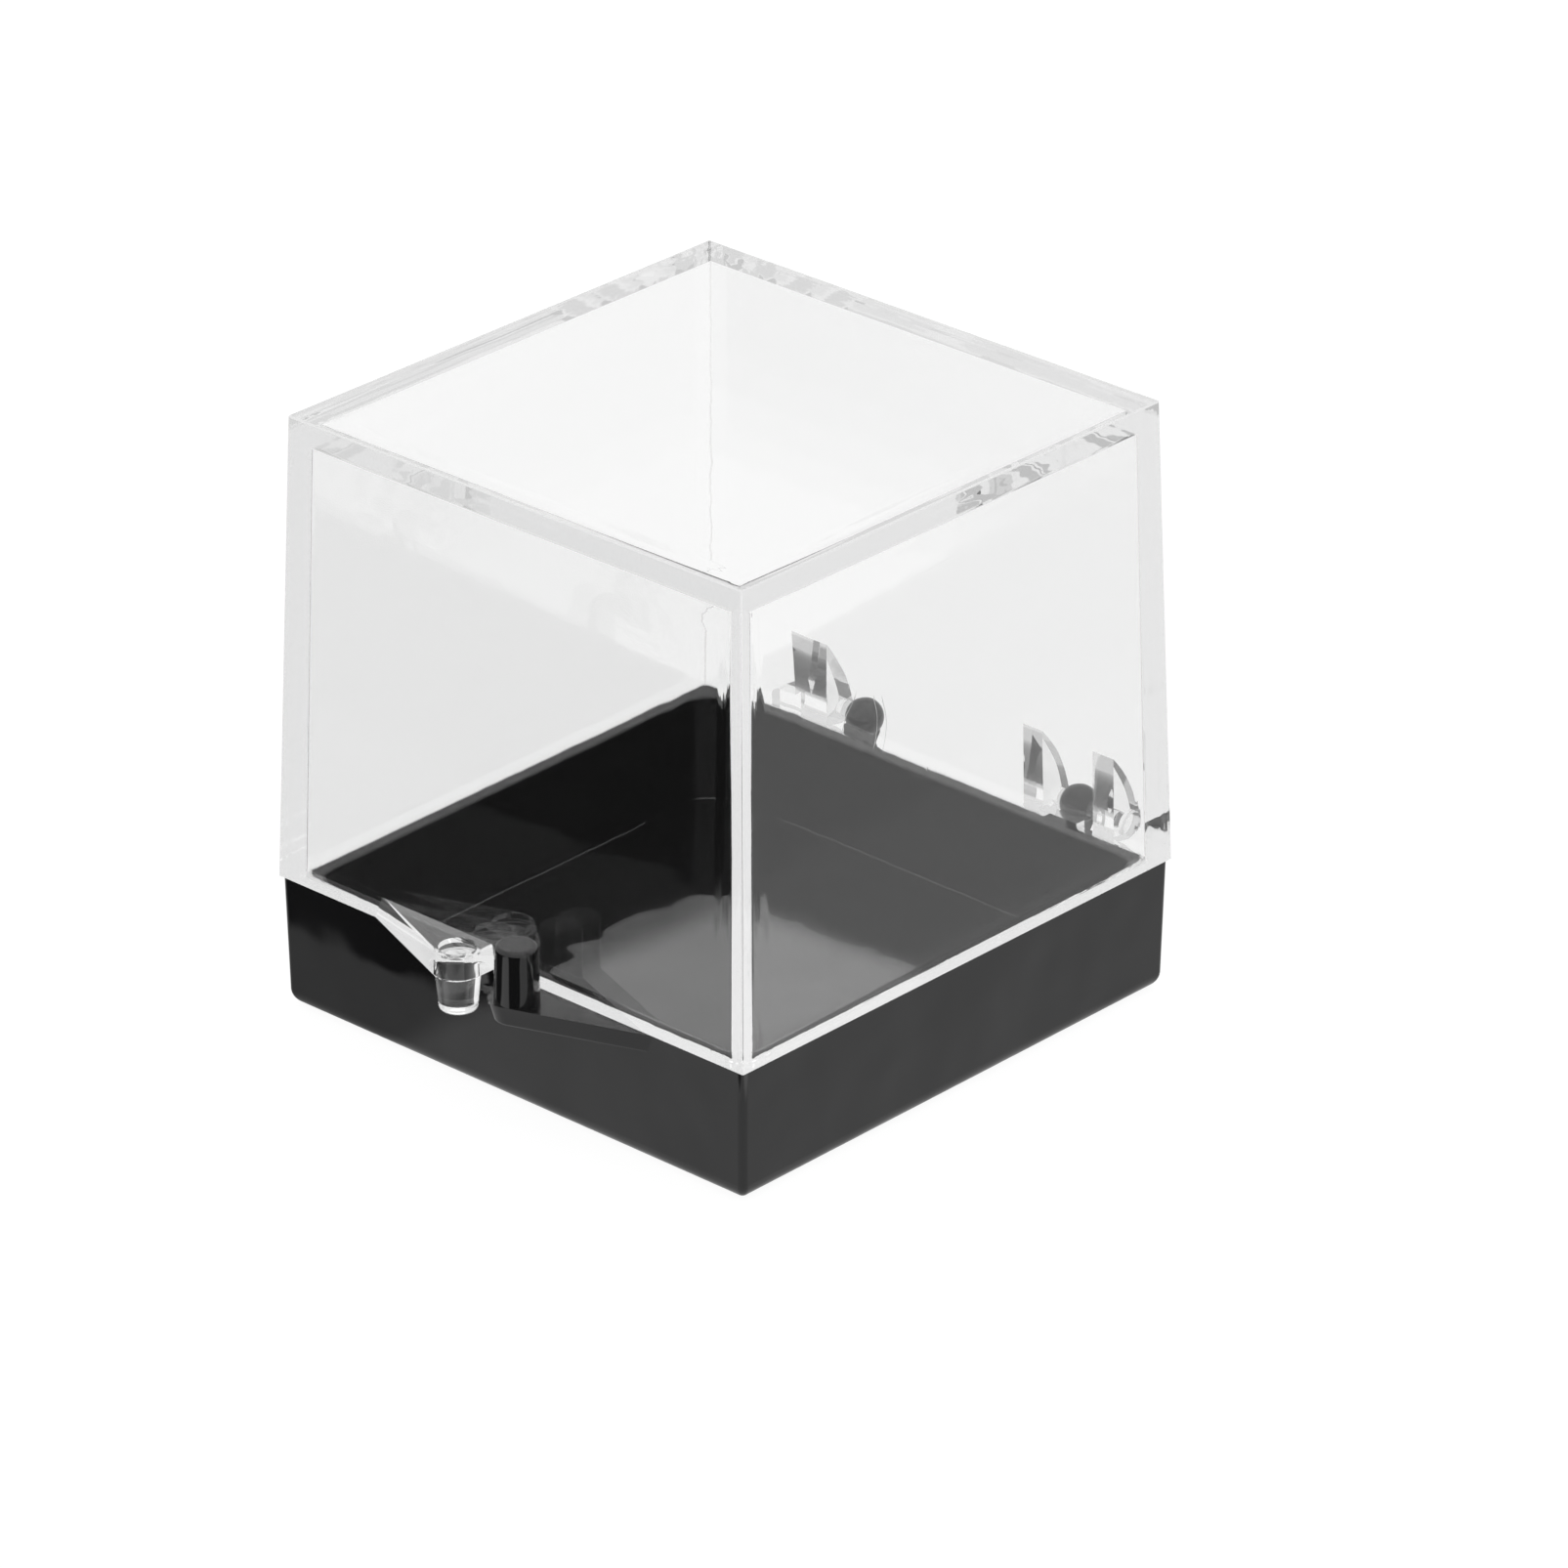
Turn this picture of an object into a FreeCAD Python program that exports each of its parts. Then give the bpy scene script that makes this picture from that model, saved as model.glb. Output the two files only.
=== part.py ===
import FreeCAD, Part
import math
import os
import Sketcher

# Small display case: a clear five-sided lid hinged along its back edge to a black tray.
# Millimetres, +Z up. The origin is the centre of the tray's foot, X runs along the hinge,
# and the finger tabs are on the -Y side.

SIZES = {
    # tray
    "foot_half": 17.08,
    "rim_half": 17.23,
    "rim_height": 7.87,
    "foot_round": 1.0,
    "edge_round": 0.4,
    "floor_thick": 1.55,
    "well_half": 15.7,
    "well_floor_half": 15.55,
    "well_corner": 1.5,
    "well_round": 0.14,
    "rim_round": 0.12,
    # lid
    "seam_gap": 0.06,
    "case_height": 35.4,
    "skirt_half": 17.35,
    "crown_half": 16.53,
    "skirt_wall": 1.45,
    "crown_wall": 1.25,
    "crown_thick": 1.75,
    "lid_corner": 0.12,
    "lid_edge": 0.1,
    "lid_inner": 0.1,
    "ceiling_round": 0.09,
    "mouth_round": 0.65,
    # hinge
    "axis_back": 18.5,
    "axis_height": 8.7,
    "ball_radius": 1.12,
    "mid_ball_x": -6.35,
    "far_ball_x": 9.5,
    "dimple_radius": 0.55,
    "dimple_floor": 0.45,
    "dimple_depth": 0.9,
    "nub_radius": 0.48,
    "nub_tip": 0.55,
    "nub_round": 0.12,
    "nub_root": 0.3,
    "bracket_width": 1.3,
    "bracket_back": 19.1,
    "bracket_front": 17.45,
    "bracket_drop": 3.0,
    "bracket_root": 0.25,
    "bracket_low": 7.75,
    "bracket_high": 8.4,
    "lug_from": -10.75,
    "lug_to": -8.15,
    "ear_from": 6.5,
    "ear_to": 7.9,
    "end_ear_from": 11.5,
    "end_ear_to": 13.0,
    "ear_radius": 1.0,
    "ear_rise": 4.95,
    "ear_sweep": 10.0,
    "ear_sink": 0.72,
    "ear_lead": 0.05,
    "step_from": -12.3,
    "step_back": 18.6,
    "step_high": 9.05,
    "step_into": 0.3,
    "step_round": 0.5,
    "boss_radius": 0.8,
    "boss_height": 0.28,
    "boss_round": 0.2,
    "notch_width": 2.74,
    "notch_height": 0.66,
    "notch_inside": 2.2,
    "notch_outside": 0.5,
    # finger tabs
    "tab_lean": 9,
    "tab_root": 0.6,
    "tab_thick": 1.2,
    "tab_side_x": 0.85,
    "tab_nose_y": -20.92,
    "tab_start_x": 12.35,
    "tab_corner": 1.25,
    "tab_edge": 0.2,
    "post_x": 2.42,
    "post_y": -18.98,
    "post_radius": 1.26,
    "post_top_radius": 1.18,
    "post_height": 3.25,
    "post_round": 0.25,
    "catch_thick": 1.36,
    "catch_side_x": -0.79,
    "catch_nose_y": -20.85,
    "catch_start_x": -11.4,
    "catch_corner": 1.35,
    "catch_edge": 0.12,
    "peg_x": -2.25,
    "peg_y": -18.72,
    "peg_radius": 1.28,
    "peg_tip_radius": 1.06,
    "peg_length": 2.4,
    "peg_round": 0.35,
    "peg_foot_round": 0.14,
    "core_radius": 1.05,
    "core_depth": 0.3,
}


class Size:
    """A number together with the sheet formula that it comes from."""

    def __init__(self, value, formula):
        self.value = float(value)
        self.formula = formula

    def __add__(self, other):
        other = as_size(other)
        return Size(self.value + other.value, f"({self.formula} + {other.formula})")

    def __sub__(self, other):
        other = as_size(other)
        return Size(self.value - other.value, f"({self.formula} - {other.formula})")

    def __mul__(self, factor):
        return Size(self.value * factor, f"({self.formula} * {factor})")

    def __neg__(self):
        return self * -1


def as_size(number):
    return number if isinstance(number, Size) else Size(number, f"({number})")


def draft(run, rise):
    """The angle in degrees of a face that leans by run over rise."""
    angle = math.degrees(math.atan(run.value / rise.value))
    return Size(angle, f"atan({run.formula} / {rise.formula})")


def make_sheet(doc):
    sheet = doc.addObject("Spreadsheet::Sheet", "Sizes")
    for row, (name, value) in enumerate(SIZES.items(), start=1):
        sheet.set(f"A{row}", name)
        sheet.set(f"B{row}", str(value))
        sheet.setAlias(f"B{row}", name)
    return {name: Size(value, f"Sizes.{name}") for name, value in SIZES.items()}


def bind(thing, path, size):
    thing.setExpression(path, as_size(size).formula)


# ---------------------------------------------------------------- sketches


def new_sketch(body, name, role, height):
    """An empty sketch on one of the body's own planes, raised by height along its normal."""
    plane = next(part for part in body.Origin.OriginFeatures if part.Role == role)
    sketch = body.newObject("Sketcher::SketchObject", name)
    sketch.AttachmentSupport = [(plane, "")]
    sketch.MapMode = "FlatFace"
    height = as_size(height)
    sketch.AttachmentOffset = FreeCAD.Placement(
        FreeCAD.Vector(0, 0, height.value), FreeCAD.Rotation())
    bind(sketch, "AttachmentOffset.Base.z", height)
    return sketch


def pin_point(sketch, edge, end, point):
    """Hold one end of an edge at a point whose coordinates are sizes."""
    for kind, size in zip(("DistanceX", "DistanceY"), point):
        row = sketch.addConstraint(Sketcher.Constraint(kind, -1, 1, edge, end, size.value))
        bind(sketch, f"Constraints[{row}]", size)


def arc_between(start, finish, radius):
    """An arc from start to finish that bulges to the right of the way it runs."""
    middle = (start + finish) * 0.5
    along = finish - start
    half = along.Length / 2
    side = FreeCAD.Vector(along.y, -along.x, 0).normalize()
    sagitta = radius - math.sqrt(radius ** 2 - half ** 2)
    return Part.Arc(start, middle + side * sagitta, finish)


def outline(body, name, role, height, corners):
    """A closed outline. Each corner is (x, y) or (x, y, radius), where the radius is that of
    an outward arc, counter-clockwise, to the next corner."""
    sketch = new_sketch(body, name, role, height)
    spots = [FreeCAD.Vector(as_size(c[0]).value, as_size(c[1]).value, 0) for c in corners]
    for index, corner in enumerate(corners):
        start = spots[index]
        finish = spots[(index + 1) % len(corners)]
        if len(corner) == 3:
            edge = sketch.addGeometry(arc_between(start, finish, corner[2].value))
            row = sketch.addConstraint(Sketcher.Constraint("Radius", edge, corner[2].value))
            bind(sketch, f"Constraints[{row}]", corner[2])
        else:
            sketch.addGeometry(Part.LineSegment(start, finish))
    for index, corner in enumerate(corners):
        previous = (index - 1) % len(corners)
        sketch.addConstraint(Sketcher.Constraint("Coincident", previous, 2, index, 1))
        pin_point(sketch, index, 1, (as_size(corner[0]), as_size(corner[1])))
    return sketch


def square(body, name, height, half):
    corners = [(-half, -half), (half, -half), (half, half), (-half, half)]
    return outline(body, name, "XY_Plane", height, corners)


def disc(body, name, role, height, centre, radius):
    sketch = new_sketch(body, name, role, height)
    middle = FreeCAD.Vector(centre[0].value, centre[1].value, 0)
    normal = FreeCAD.Vector(0, 0, 1)
    edge = sketch.addGeometry(Part.Circle(middle, normal, radius.value))
    row = sketch.addConstraint(Sketcher.Constraint("Radius", edge, radius.value))
    bind(sketch, f"Constraints[{row}]", radius)
    pin_point(sketch, edge, 3, centre)
    return sketch


# ---------------------------------------------------------------- features


def pad(body, name, sketch, length, taper=None, down=False):
    return extrude(body, "PartDesign::Pad", name, sketch, length, taper, down)


def pocket(body, name, sketch, length, taper=None, upward=False):
    """A cut that runs against its sketch's normal, or along it when upward."""
    before = body.Shape.Volume
    feature = extrude(body, "PartDesign::Pocket", name, sketch, length, taper, upward)
    if body.Shape.Volume >= before:
        raise RuntimeError(f"{name} removed nothing")
    return feature


def extrude(body, kind, name, sketch, length, taper, backward):
    feature = body.newObject(kind, name)
    feature.Profile = sketch
    bind(feature, "Length", length)
    feature.Reversed = backward
    if taper is not None:
        bind(feature, "TaperAngle", taper)
    sketch.Visibility = False
    body.Document.recompute()
    return feature


def fillet(body, name, radius, choose):
    """Round every edge of the body's last feature that choose() accepts."""
    last = body.Tip
    edges = [f"Edge{n}" for n, edge in enumerate(last.Shape.Edges, start=1) if choose(edge)]
    if not edges:
        raise RuntimeError(f"{name} found no edge")
    feature = body.newObject("PartDesign::Fillet", name)
    feature.Base = (last, edges)
    bind(feature, "Radius", radius)
    body.Document.recompute()
    return feature


def ball(body, name, centre, radius):
    sphere = body.newObject("PartDesign::AdditiveSphere", name)
    plane = next(part for part in body.Origin.OriginFeatures if part.Role == "XY_Plane")
    sphere.AttachmentSupport = [(plane, "")]
    sphere.MapMode = "FlatFace"
    bind(sphere, "Radius", radius)
    for letter, size in zip("xyz", centre):
        bind(sphere, f"AttachmentOffset.Base.{letter}", size)
    body.Document.recompute()
    return sphere


# ---------------------------------------------------------------- edge choices


SLACK = 0.02


def is_flat_at(edge, height):
    """True for an edge that lies level at that height."""
    box = edge.BoundBox
    return max(abs(box.ZMin - height.value), abs(box.ZMax - height.value)) < SLACK


def is_across_at(edge, x):
    """True for an edge that lies in the plane across the hinge at x."""
    box = edge.BoundBox
    return max(abs(box.XMin - x.value), abs(box.XMax - x.value)) < SLACK


def stands_up(edge, reach):
    """True for an edge that climbs at least as far as reach."""
    return edge.BoundBox.ZLength > reach


def is_within(edge, half):
    """True when the edge stays inside a square of that half size about the origin."""
    box = edge.BoundBox
    limit = half.value + SLACK
    return max(abs(box.XMin), abs(box.XMax), abs(box.YMin), abs(box.YMax)) < limit


def is_near(edge, x, y, reach):
    """True when the edge's middle is within reach of a vertical line."""
    middle = edge.BoundBox.Center
    return math.hypot(middle.x - x.value, middle.y - y.value) < reach


# ---------------------------------------------------------------- tray


def make_tray(doc, s):
    body = doc.addObject("PartDesign::Body", "Tray")
    body.Label = "tray"
    make_tray_shell(body, s)
    make_tray_tab(body, s)
    make_knuckles(body, s)
    return body


def make_tray_shell(body, s):
    zero = Size(0, "0")
    foot = square(body, "FootOutline", 0, s["foot_half"])
    flare = draft(s["rim_half"] - s["foot_half"], s["rim_height"])
    pad(body, "Block", foot, s["rim_height"], taper=flare)
    fillet(body, "FootRound", s["foot_round"], lambda edge: is_flat_at(edge, zero))
    fillet(body, "UprightRound", s["edge_round"], lambda edge: stands_up(edge, 5))
    well = square(body, "WellOutline", s["rim_height"], s["well_half"])
    depth = s["rim_height"] - s["floor_thick"]
    narrowing = draft(s["well_half"] - s["well_floor_half"], depth)
    pocket(body, "Well", well, depth, taper=-narrowing)
    fillet(body, "WellCorners", s["well_corner"],
           lambda edge: stands_up(edge, 5) and is_within(edge, s["well_half"]))
    fillet(body, "WellFloorRound", s["well_round"],
           lambda edge: is_flat_at(edge, s["floor_thick"]))
    fillet(body, "RimRound", s["rim_round"],
           lambda edge: is_flat_at(edge, s["rim_height"]) and is_within(edge, s["well_half"]))


def make_tray_tab(body, s):
    """The black finger tab: a thin wedge under the seam, with the latch post standing on it."""
    root = -(s["rim_half"] - s["tab_root"])
    corners = [(s["tab_side_x"], root), (s["tab_side_x"], s["tab_nose_y"]),
               (s["tab_start_x"], root)]
    plate = outline(body, "TabOutline", "XY_Plane", s["rim_height"], corners)
    pad(body, "Tab", plate, s["tab_thick"], taper=-s["tab_lean"], down=True)
    fillet(body, "TabCorner", s["tab_corner"],
           lambda edge: stands_up(edge, 1) and is_near(edge, s["tab_side_x"], s["tab_nose_y"], 1))
    fillet(body, "TabEdge", s["tab_edge"],
           lambda edge: is_flat_at(edge, s["rim_height"] - s["tab_thick"])
           and edge.BoundBox.YMin < -s["rim_half"].value - 1)
    foot = disc(body, "PostOutline", "XY_Plane", s["rim_height"],
                (s["post_x"], s["post_y"]), s["post_radius"])
    narrowing = draft(s["post_radius"] - s["post_top_radius"], s["post_height"])
    pad(body, "Post", foot, s["post_height"], taper=-narrowing)
    top = s["rim_height"] + s["post_height"]
    fillet(body, "PostRound", s["post_round"], lambda edge: is_flat_at(edge, top))


def make_knuckles(body, s):
    """Two balls on brackets behind the rim, dimpled where the lid's nubs turn in them."""
    spots = [("Mid", s["mid_ball_x"], (-1,)), ("Far", s["far_ball_x"], (-1, 1))]
    for name, middle, sides in spots:
        make_bracket(body, name, s, middle)
        ball(body, f"{name}Ball", (middle, s["axis_back"], s["axis_height"]), s["ball_radius"])
        for side in sides:
            label = f"{name}Dimple" + ("Right" if side > 0 else "Left")
            dimple = disc(body, f"{label}Outline", "YZ_Plane", middle + s["dimple_floor"] * side,
                          (s["axis_back"], s["axis_height"]), s["dimple_radius"])
            pocket(body, label, dimple, s["dimple_depth"], upward=side > 0)


def make_bracket(body, name, s, middle):
    """The wedge that carries a ball: out from the wall below the rim, then up to the ball."""
    root = s["foot_half"] - s["bracket_root"]
    corners = [(root, s["rim_height"] - s["bracket_drop"]),
               (s["bracket_back"], s["bracket_low"]),
               (s["bracket_back"], s["bracket_high"]),
               (s["bracket_front"], s["bracket_high"]),
               (s["bracket_front"], s["rim_height"]),
               (root, s["rim_height"])]
    start = middle - s["bracket_width"] * 0.5
    wedge = outline(body, f"{name}BracketOutline", "YZ_Plane", start, corners)
    pad(body, f"{name}Bracket", wedge, s["bracket_width"])


# ---------------------------------------------------------------- lid


def make_lid(doc, s):
    body = doc.addObject("PartDesign::Body", "Lid")
    body.Label = "lid"
    seam = s["rim_height"] + s["seam_gap"]
    make_lid_shell(body, s, seam)
    make_ears(body, s, seam)
    make_catch(body, s, seam)
    return body


def make_lid_shell(body, s, seam):
    tall = s["case_height"] - seam
    lean = draft(s["skirt_half"] - s["crown_half"], tall)
    skirt = square(body, "SkirtOutline", seam, s["skirt_half"])
    pad(body, "Hood", skirt, tall, taper=-lean)
    fillet(body, "HoodCorners", s["lid_corner"], lambda edge: stands_up(edge, 20))
    fillet(body, "CrownRound", s["lid_edge"], lambda edge: is_flat_at(edge, s["case_height"]))
    mouth_half = s["skirt_half"] - s["skirt_wall"]
    depth = tall - s["crown_thick"]
    crown_inner = s["crown_half"] - s["crown_wall"]
    narrowing = draft(mouth_half - crown_inner, tall)
    mouth = square(body, "MouthOutline", seam, mouth_half)
    pocket(body, "Inside", mouth, depth, taper=-narrowing, upward=True)
    fillet(body, "InsideCorners", s["lid_inner"],
           lambda edge: stands_up(edge, 20) and is_within(edge, mouth_half))
    fillet(body, "CeilingRound", s["ceiling_round"],
           lambda edge: is_flat_at(edge, s["case_height"] - s["crown_thick"]))
    fillet(body, "MouthRound", s["mouth_round"],
           lambda edge: is_flat_at(edge, seam) and is_within(edge, mouth_half))


def make_ears(body, s, seam):
    """Curved gussets on the back wall, with nubs that turn in the tray's dimpled balls."""
    root = s["skirt_half"] - s["ear_sink"]
    foot = s["skirt_half"] - s["ear_lead"]
    back = s["axis_back"] + s["ear_radius"]
    under = s["axis_height"] - s["ear_radius"]
    spans = [("Lug", s["lug_from"], s["lug_to"]), ("Ear", s["ear_from"], s["ear_to"]),
             ("EndEar", s["end_ear_from"], s["end_ear_to"])]
    for name, start, finish in spans:
        corners = [(root, seam), (foot, seam), (s["axis_back"], under, s["ear_radius"]),
                   (back, s["axis_height"], s["ear_sweep"]),
                   (root, s["axis_height"] + s["ear_rise"])]
        gusset = outline(body, f"{name}Outline", "YZ_Plane", start, corners)
        pad(body, name, gusset, finish - start)
    make_nub(body, s, "LugNub", s["lug_to"], s["mid_ball_x"], 1)
    make_nub(body, s, "EarNub", s["ear_to"], s["far_ball_x"], 1)
    make_nub(body, s, "EndNub", s["end_ear_from"], s["far_ball_x"], -1)
    boss = disc(body, "BossOutline", "YZ_Plane", s["end_ear_to"],
                (s["axis_back"], s["axis_height"]), s["boss_radius"])
    pad(body, "Boss", boss, s["boss_height"])
    fillet(body, "BossRound", s["boss_round"],
           lambda edge: is_across_at(edge, s["end_ear_to"] + s["boss_height"]))
    make_step(body, s, root, seam)
    make_notch(body, s, s["far_ball_x"], seam)


def make_step(body, s, root, seam):
    """A low step beside the lug, towards the end of the hinge."""
    corners = [(root, seam), (s["step_back"], seam), (s["step_back"], s["step_high"]),
               (root, s["step_high"])]
    block = outline(body, "StepOutline", "YZ_Plane", s["step_from"], corners)
    pad(body, "Step", block, s["lug_from"] - s["step_from"] + s["step_into"])
    fillet(body, "StepRound", s["step_round"],
           lambda edge: is_flat_at(edge, s["step_high"]) and is_across_at(edge, s["step_from"]))


def make_notch(body, s, middle, seam):
    """An opening in the skirt's lower edge, where a bracket passes."""
    half = s["notch_width"] * 0.5
    inner = s["skirt_half"] - s["notch_inside"]
    outer = s["skirt_half"] + s["notch_outside"]
    corners = [(middle - half, inner), (middle + half, inner),
               (middle + half, outer), (middle - half, outer)]
    slot = outline(body, "NotchOutline", "XY_Plane", seam, corners)
    pocket(body, "Notch", slot, s["notch_height"], upward=True)


def make_nub(body, s, name, face, middle, side):
    """A round nub from an ear's face, to one side along X, into the dimple of a ball."""
    start = face - s["nub_root"] * side
    foot = disc(body, f"{name}Outline", "YZ_Plane", start,
                (s["axis_back"], s["axis_height"]), s["nub_radius"])
    tip = middle - s["nub_tip"] * side
    length = (tip - start) * side
    pad(body, name, foot, length, down=side < 0)
    fillet(body, f"{name}Round", s["nub_round"], lambda edge: is_across_at(edge, tip))


def make_catch(body, s, seam):
    """The clear finger tab: a wedge above the seam, with the latch peg hanging from it."""
    root = -(s["skirt_half"] - s["tab_root"])
    corners = [(s["catch_start_x"], root), (s["catch_side_x"], s["catch_nose_y"]),
               (s["catch_side_x"], root)]
    plate = outline(body, "CatchOutline", "XY_Plane", seam, corners)
    pad(body, "Catch", plate, s["catch_thick"], taper=-s["tab_lean"])
    fillet(body, "CatchCorner", s["catch_corner"],
           lambda edge: stands_up(edge, 1)
           and is_near(edge, s["catch_side_x"], s["catch_nose_y"], 1))
    fillet(body, "CatchEdge", s["catch_edge"],
           lambda edge: is_flat_at(edge, seam + s["catch_thick"])
           and edge.BoundBox.YMin < -s["skirt_half"].value - 1)
    centre = (s["peg_x"], s["peg_y"])
    shank = disc(body, "PegOutline", "XY_Plane", seam, centre, s["peg_radius"])
    narrowing = draft(s["peg_radius"] - s["peg_tip_radius"], s["peg_length"])
    pad(body, "Peg", shank, s["peg_length"], taper=-narrowing, down=True)
    fillet(body, "PegRound", s["peg_round"],
           lambda edge: is_flat_at(edge, seam - s["peg_length"]))
    fillet(body, "PegFoot", s["peg_foot_round"],
           lambda edge: is_flat_at(edge, seam) and is_near(edge, s["peg_x"], s["peg_y"], 0.1))
    core = disc(body, "CoreOutline", "XY_Plane", seam + s["catch_thick"], centre,
                s["core_radius"])
    pocket(body, "Core", core, s["core_depth"])


# ---------------------------------------------------------------- output


def check(doc, bodies):
    doc.recompute()
    for thing in doc.Objects:
        if "Invalid" in thing.State or "Error" in thing.State:
            raise RuntimeError(f"{thing.Label} failed: {thing.State}")
    for body in bodies:
        if body.Shape.isNull() or not body.Shape.isValid():
            raise RuntimeError(f"{body.Label} has no valid shape")
        if len(body.Shape.Solids) != 1:
            raise RuntimeError(f"{body.Label} is not one solid")


def main():
    doc = FreeCAD.newDocument("DisplayCase")
    sizes = make_sheet(doc)
    doc.recompute()
    bodies = [make_tray(doc, sizes), make_lid(doc, sizes)]
    check(doc, bodies)
    os.makedirs("parts", exist_ok=True)
    for body in bodies:
        body.Shape.exportStep(f"parts/{body.Label}.step")
        print(body.Label, round(body.Shape.Volume, 1), body.Shape.BoundBox)


main()
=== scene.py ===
import bpy
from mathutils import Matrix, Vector

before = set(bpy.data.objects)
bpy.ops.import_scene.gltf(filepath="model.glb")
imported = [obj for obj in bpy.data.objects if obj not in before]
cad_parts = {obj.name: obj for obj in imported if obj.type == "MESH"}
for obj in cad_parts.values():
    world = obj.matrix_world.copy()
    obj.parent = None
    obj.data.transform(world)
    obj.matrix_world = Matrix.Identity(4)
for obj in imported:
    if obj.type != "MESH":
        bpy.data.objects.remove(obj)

# Every length below is in metres unless its name ends in MM.
MM = 0.001

# ---- camera, solved from the case's corners in the picture
CAMERA_LENS_MM = 210.49
CAMERA_SENSOR_MM = 36.0
CAMERA_CLIP = (0.01, 20.0)
CAMERA_PLACE_MM = (306.86, -329.25, 233.04)
CAMERA_TARGET_MM = (3.512, 0.885, 13.823)

# ---- stage
FLOOR_HALF = 3.0
FLOOR_GLOW = 0.93
FLOOR_PAPER = (0.14, 0.14, 0.14, 1)
WORLD_GLOW = 0.82
LIGHT_PLACE = (0.1, 0.1, 0.9)
LIGHT_SIDE = 0.9
LIGHT_POWER = 1.0

# ---- the table as reflections show it: painted shade and painted light, seen only in reflections
# Each zone's pair says where it starts and where it has its full strength.
# Painted shade: dark patches that the table shows only in reflections, left of and in front of
# the tray.
LEFT_PAINTED_SHADE_X = (-0.0075, -0.0105)
LEFT_PAINTED_SHADE_FAR_Y = (-0.14, -0.06)
LEFT_PAINTED_SHADE_FAR_SHARES = (0.8, 1.0)
LEFT_PAINTED_SHADE_FOOT_Y = (-0.0231, -0.0241)
LEFT_PAINTED_SHADE_FOOT_SHARES = (0.45, 1.0)
FRONT_PAINTED_SHADE_X = (0.003, 0.006)
FRONT_PAINTED_SHADE_Y = (-0.028, -0.031)
FRONT_PAINTED_SHADE_END_X = (0.07, 0.04)
# Painted contact shade: the reflected table is darker next to the tray.
OPEN_APART = (0.0265, 0.0305)
OPEN_GLOWS = (0.6, 0.82)
# A painted pool of light and a painted shade on the reflected table, right of the tray.
BRIGHT_X = (0.027, 0.030)
BRIGHT_Y = (0.0115, 0.0085)
BRIGHT_GAIN = 0.4
SHADE_X = (0.027, 0.031)
SHADE_Y = (0.0085, 0.0115)
SHADE_LOSS = 0.28
# Painted light on the reflected table behind and beside the case.
BACK_Y = (0.0195, 0.0210)
BACK_X = (0.0172, 0.0160)
SIDE_X = (-0.0175, -0.0190)
SIDE_Y = (-0.0172, -0.0160)
BEHIND_GLOW = 0.78

# ---- both plastics
PLASTIC_IOR = 1.59
# Scratches run where their noise is nearly half way, and only in patches of a wider noise.
LINE_WIDTHS = (0.006, 0.001)
PATCH_SOFTNESS = 0.06

# ---- clear plastic
CLEAR_COLOUR = (0.992, 0.993, 0.992, 1)
RIM_REACH = (0.0148, 0.0156)
RIM_Z = (0.0325, 0.0340)
PILLAR_ALONG = (0.0150, 0.0156)
FLOW_SIZE, FLOW_DEPTH = 0.006, 0.000013
DRAW_SIZE, DRAW_DEPTH = 0.0006, 0.000022
RIDGE_SIZE, RIDGE_DEPTH = 0.0011, 0.00004
CLEAR_HAIR_SIZE, CLEAR_HAIR_DEPTH = 0.004, -0.0000004
# A painted glow: light trapped for many bounces in the clear walls ends in a grey emission.
TRAPPED_PAINTED_GLOW = 0.82
PAINTED_GLOW_BOUNCES = (4.0, 10.0)
PAINTED_GLOW_SHARES = (0.003, 0.5)

# ---- black plastic
BLACK_COLOUR = (0.007, 0.007, 0.0073, 1)
SINK_SIZE, SINK_DEPTH = 0.009, 0.00032
PEEL_SIZE, PEEL_DEPTH = 0.0009, 0.000001
BLACK_HAIR_SIZE, BLACK_HAIR_DEPTH = 0.003, -0.0000006
BLACK_HAIR_ROUGHNESS = 0.1
POLISH_SIZE = 0.005
POLISH_NOISE = (0.35, 0.7)
POLISH_ROUGHNESS = (0.03, 0.10)

# Light trapped in the clear walls needs many bounces before it gets out.
BOUNCES = 32

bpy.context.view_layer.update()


# ---------------------------------------------------------------- node helpers
def new_material(name):
    material = bpy.data.materials.new(name)
    material.use_nodes = True
    material.node_tree.nodes.clear()
    return material


def node(tree, kind, **values):
    """A new node, with each value put in the input or the setting of that name."""
    made = tree.nodes.new(kind)
    for key, value in values.items():
        if key in made.inputs:
            made.inputs[key].default_value = value
        else:
            setattr(made, key, value)
    return made


def ramp(tree, value, start, finish, low=0.0, high=1.0):
    """A value's smooth step from low to high as it goes from start to finish."""
    step = node(tree, "ShaderNodeMapRange", interpolation_type="SMOOTHSTEP")
    tree.links.new(value, step.inputs["Value"])
    step.inputs["From Min"].default_value = start
    step.inputs["From Max"].default_value = finish
    step.inputs["To Min"].default_value = low
    step.inputs["To Max"].default_value = high
    return step.outputs["Result"]


def maths(tree, operation, *values):
    made = node(tree, "ShaderNodeMath", operation=operation)
    for socket, value in zip(made.inputs, values):
        if isinstance(value, (int, float)):
            socket.default_value = value
        else:
            tree.links.new(value, socket)
    return made.outputs[0]


def times(tree, first, *others):
    """The product of two or more values."""
    for other in others:
        first = maths(tree, "MULTIPLY", first, other)
    return first


def split_xyz(tree, vector):
    split = node(tree, "ShaderNodeSeparateXYZ")
    tree.links.new(vector, split.inputs[0])
    return split.outputs[0], split.outputs[1], split.outputs[2]


def mixed(tree, share, first, second):
    """The first shader where share is 0 and the second where it is 1."""
    mix = node(tree, "ShaderNodeMixShader")
    tree.links.new(share, mix.inputs[0])
    tree.links.new(first, mix.inputs[1])
    tree.links.new(second, mix.inputs[2])
    return mix.outputs[0]


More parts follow.
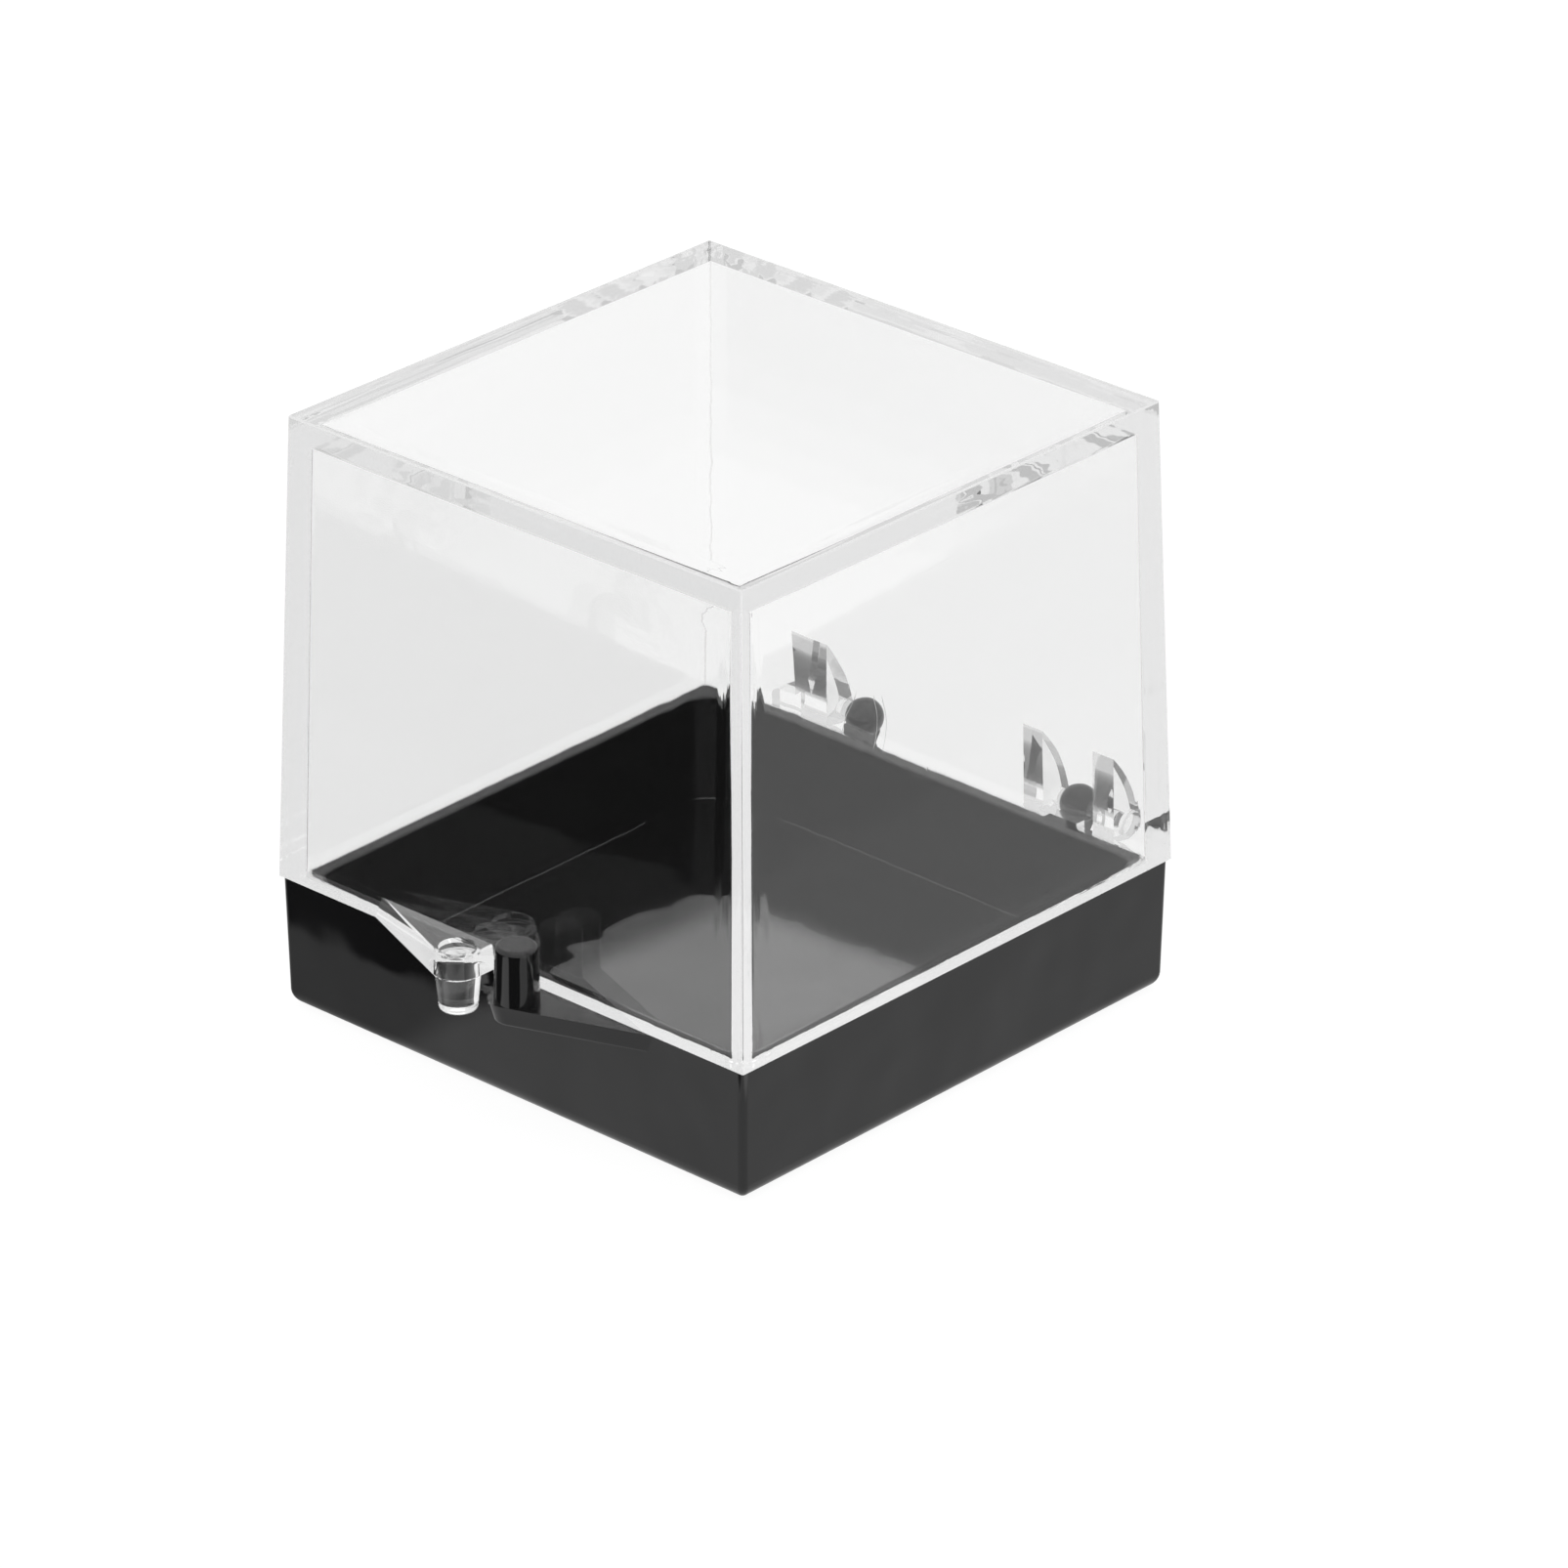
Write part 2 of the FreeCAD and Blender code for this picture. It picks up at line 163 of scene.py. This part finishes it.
def noise(tree, place, size, detail=2.0, stretch=(1, 1, 1)):
    """Noise whose features are about size metres across."""
    scale = node(tree, "ShaderNodeVectorMath", operation="MULTIPLY")
    tree.links.new(place, scale.inputs[0])
    scale.inputs[1].default_value = [s / size for s in stretch]
    made = node(tree, "ShaderNodeTexNoise", Scale=1.0, Detail=detail, Roughness=0.5)
    tree.links.new(scale.outputs[0], made.inputs["Vector"])
    return made.outputs["Fac"]


def bump(tree, height, depth, before=None):
    """A bump as deep as depth, in metres, on top of the bump before it."""
    made = node(tree, "ShaderNodeBump", Strength=1.0, Distance=depth)
    tree.links.new(height, made.inputs["Height"])
    if before:
        tree.links.new(before, made.inputs["Normal"])
    return made.outputs[0]


def scratches(tree, place, size, stretch, share):
    """Sparse thin lines, 1 where a line is, from noise stretched along one direction. The larger
    share is, the larger are the patches that they lie in."""
    field = noise(tree, place, size, detail=1.0, stretch=stretch)
    across = maths(tree, "ABSOLUTE", maths(tree, "SUBTRACT", field, 0.5))
    patches = noise(tree, place, size * 6, detail=0.0)
    line = ramp(tree, across, *LINE_WIDTHS)
    edge = 1.0 - share
    return times(tree, line, ramp(tree, patches, edge, edge + PATCH_SOFTNESS))


# ---------------------------------------------------------------- stage
def aim(thing, place, target):
    """Put a camera or a light at place, looking at target."""
    thing.location = place
    thing.rotation_mode = "QUATERNION"
    thing.rotation_quaternion = (target - place).to_track_quat("-Z", "Y")


def make_camera():
    data = bpy.data.cameras.new("camera")
    data.lens = CAMERA_LENS_MM
    data.sensor_width = CAMERA_SENSOR_MM
    data.clip_start, data.clip_end = CAMERA_CLIP
    camera = bpy.data.objects.new("camera", data)
    bpy.context.scene.collection.objects.link(camera)
    aim(camera, Vector(CAMERA_PLACE_MM) * MM, Vector(CAMERA_TARGET_MM) * MM)
    bpy.context.scene.camera = camera


def painted_floor_reflection(tree, x, y):
    """How bright the table looks in reflections, at each point of it, all painted: open table
    with painted shade next to the tray, less painted dark patches left of and in front of the
    tray, and painted light that makes it brighter behind the case."""
    # The left patch of painted shade is thinner far from the tray, and thinner still right next
    # to its foot.
    left = times(tree, ramp(tree, x, *LEFT_PAINTED_SHADE_X),
                 ramp(tree, y, *LEFT_PAINTED_SHADE_FAR_Y, *LEFT_PAINTED_SHADE_FAR_SHARES),
                 ramp(tree, y, *LEFT_PAINTED_SHADE_FOOT_Y, *LEFT_PAINTED_SHADE_FOOT_SHARES))
    front = times(tree, ramp(tree, x, *FRONT_PAINTED_SHADE_X), ramp(tree, y, *FRONT_PAINTED_SHADE_Y),
                  ramp(tree, x, *FRONT_PAINTED_SHADE_END_X))
    # Where the painted dark patches lie, the reflected table is darkened.
    painted_dark_patch = maths(tree, "MAXIMUM", left, front)

    # Painted contact shade: the table is lighter away from the front and right sides of the tray
    # than next to them.
    apart = maths(tree, "MAXIMUM", x, times(tree, y, -1.0))
    open_floor = ramp(tree, apart, *OPEN_APART, *OPEN_GLOWS)
    # A painted patch of light and a painted shade, right of the tray.
    bright = times(tree, ramp(tree, x, *BRIGHT_X), ramp(tree, y, *BRIGHT_Y))
    open_floor = maths(tree, "ADD", open_floor, times(tree, bright, BRIGHT_GAIN))
    shade = times(tree, ramp(tree, x, *SHADE_X), ramp(tree, y, *SHADE_Y))
    open_floor = maths(tree, "SUBTRACT", open_floor, times(tree, shade, SHADE_LOSS))
    shaded = times(tree, open_floor, maths(tree, "SUBTRACT", 1.0, painted_dark_patch))

    # Painted light on the table behind and beside the case.
    back = times(tree, ramp(tree, y, *BACK_Y), ramp(tree, x, *BACK_X))
    side = times(tree, ramp(tree, x, *SIDE_X), ramp(tree, y, *SIDE_Y))
    behind = maths(tree, "MAXIMUM", back, side)
    return maths(tree, "MAXIMUM", shaded, times(tree, behind, BEHIND_GLOW))


def floor_material():
    """A white table. What mirrors it sees greyer than the camera does, with painted shade and
    painted light on it.
    """
    material = new_material("floor_white")
    tree = material.node_tree
    out = node(tree, "ShaderNodeOutputMaterial")
    place = node(tree, "ShaderNodeNewGeometry")
    x, y, _ = split_xyz(tree, place.outputs["Position"])

    seen = node(tree, "ShaderNodeEmission", Strength=FLOOR_GLOW)
    paper = node(tree, "ShaderNodeBsdfDiffuse", Color=FLOOR_PAPER)
    lit = node(tree, "ShaderNodeAddShader")
    tree.links.new(seen.outputs[0], lit.inputs[0])
    tree.links.new(paper.outputs[0], lit.inputs[1])

    reflected = node(tree, "ShaderNodeEmission")
    tree.links.new(painted_floor_reflection(tree, x, y), reflected.inputs["Strength"])

    # Reflections see the painted table; the camera sees the evenly lit one.
    path = node(tree, "ShaderNodeLightPath")
    is_mirrored = maths(tree, "GREATER_THAN", path.outputs["Glossy Depth"], 0.5)
    surface = mixed(tree, is_mirrored, lit.outputs[0], reflected.outputs[0])
    tree.links.new(surface, out.inputs[0])
    return material


def make_floor():
    data = bpy.data.meshes.new("floor")
    half = FLOOR_HALF
    corners = [(-half, -half, 0), (half, -half, 0), (half, half, 0), (-half, half, 0)]
    data.from_pydata(corners, [], [(0, 1, 2, 3)])
    floor = bpy.data.objects.new("floor", data)
    bpy.context.scene.collection.objects.link(floor)
    floor.data.materials.append(floor_material())


def make_world():
    world = bpy.data.worlds.new("studio")
    bpy.context.scene.world = world
    world.use_nodes = True
    background = world.node_tree.nodes["Background"]
    background.inputs["Color"].default_value = (1, 1, 1, 1)
    background.inputs["Strength"].default_value = WORLD_GLOW


def make_light():
    """One wide soft light overhead."""
    data = bpy.data.lights.new("overhead", "AREA")
    data.shape = "RECTANGLE"
    data.size = data.size_y = LIGHT_SIDE
    data.energy = LIGHT_POWER
    light = bpy.data.objects.new("overhead", data)
    bpy.context.scene.collection.objects.link(light)
    aim(light, Vector(LIGHT_PLACE), Vector((0, 0, 0)))


# ---------------------------------------------------------------- the object's plastics
def clear_plastic():
    """Clear moulded plastic: faint flow waves in the walls, streaks drawn up the corner pillars,
    ridges along the crown's rim where it shrank in its mould, and a few hairlines. Light that
    has been trapped between the walls for long ends in a painted grey glow."""
    material = new_material("clear_moulded_plastic")
    tree = material.node_tree
    out = node(tree, "ShaderNodeOutputMaterial")
    place = node(tree, "ShaderNodeTexCoord").outputs["Object"]
    x, y, z = split_xyz(tree, place)

    # Distances from the middle: reach is out to the wall, and along is along that wall, so both
    # are large in a corner pillar. Noise made from them runs parallel to the rim's edges.
    wide, deep = maths(tree, "ABSOLUTE", x), maths(tree, "ABSOLUTE", y)
    reach = maths(tree, "MAXIMUM", wide, deep)
    along = maths(tree, "MINIMUM", wide, deep)
    rim = times(tree, ramp(tree, reach, *RIM_REACH), ramp(tree, z, *RIM_Z))
    pillar = ramp(tree, along, *PILLAR_ALONG)
    edge_place = node(tree, "ShaderNodeCombineXYZ")
    for value, socket in zip((reach, along, z), edge_place.inputs):
        tree.links.new(value, socket)

    flow = noise(tree, place, FLOW_SIZE, stretch=(1, 1, 0.35))
    draw = noise(tree, place, DRAW_SIZE, stretch=(1, 1, 0.02))
    ridges = noise(tree, edge_place.outputs[0], RIDGE_SIZE, detail=1.0, stretch=(1, 0.12, 1))
    hair = scratches(tree, place, CLEAR_HAIR_SIZE, stretch=(0.25, 1, 0.6), share=0.42)
    normal = bump(tree, flow, FLOW_DEPTH)
    normal = bump(tree, times(tree, draw, pillar), DRAW_DEPTH, normal)
    normal = bump(tree, times(tree, ridges, rim), RIDGE_DEPTH, normal)
    normal = bump(tree, hair, CLEAR_HAIR_DEPTH, normal)

    shader = node(tree, "ShaderNodeBsdfPrincipled", IOR=PLASTIC_IOR)
    shader.inputs["Base Color"].default_value = CLEAR_COLOUR
    shader.inputs["Roughness"].default_value = 0.0
    shader.inputs["Transmission Weight"].default_value = 1.0
    tree.links.new(normal, shader.inputs["Normal"])

    # Painted glow: paths trapped between the walls for many bounces turn partly into grey
    # emission.
    painted_glow = node(tree, "ShaderNodeEmission", Strength=TRAPPED_PAINTED_GLOW)
    path = node(tree, "ShaderNodeLightPath")
    trapped = ramp(tree, path.outputs["Ray Depth"], *PAINTED_GLOW_BOUNCES, *PAINTED_GLOW_SHARES)
    surface = mixed(tree, trapped, shader.outputs[0], painted_glow.outputs[0])
    tree.links.new(surface, out.inputs[0])
    return material


def black_plastic():
    """Black gloss plastic: shrinkage waves, a fine orange peel, patches of duller polish and a
    few hairlines."""
    material = new_material("black_gloss_plastic")
    tree = material.node_tree
    out = node(tree, "ShaderNodeOutputMaterial")
    place = node(tree, "ShaderNodeTexCoord").outputs["Object"]

    sink = noise(tree, place, SINK_SIZE)
    peel = noise(tree, place, PEEL_SIZE)
    hair = scratches(tree, place, BLACK_HAIR_SIZE, stretch=(1, 0.3, 1), share=0.45)
    normal = bump(tree, sink, SINK_DEPTH)
    normal = bump(tree, peel, PEEL_DEPTH, normal)
    normal = bump(tree, hair, BLACK_HAIR_DEPTH, normal)

    shader = node(tree, "ShaderNodeBsdfPrincipled", IOR=PLASTIC_IOR)
    shader.inputs["Base Color"].default_value = BLACK_COLOUR
    patches = noise(tree, place, POLISH_SIZE, detail=3.0)
    polish = ramp(tree, patches, *POLISH_NOISE, *POLISH_ROUGHNESS)
    scratched = times(tree, hair, BLACK_HAIR_ROUGHNESS)
    tree.links.new(maths(tree, "ADD", polish, scratched), shader.inputs["Roughness"])
    tree.links.new(normal, shader.inputs["Normal"])
    tree.links.new(shader.outputs[0], out.inputs[0])
    return material


scene = bpy.context.scene
scene.view_settings.view_transform = "Standard"
scene.cycles.max_bounces = BOUNCES
scene.cycles.glossy_bounces = BOUNCES
scene.cycles.transmission_bounces = BOUNCES
make_camera()
make_floor()
make_world()
make_light()

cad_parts["lid"].material_slots[0].material = clear_plastic()
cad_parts["tray"].material_slots[0].material = black_plastic()
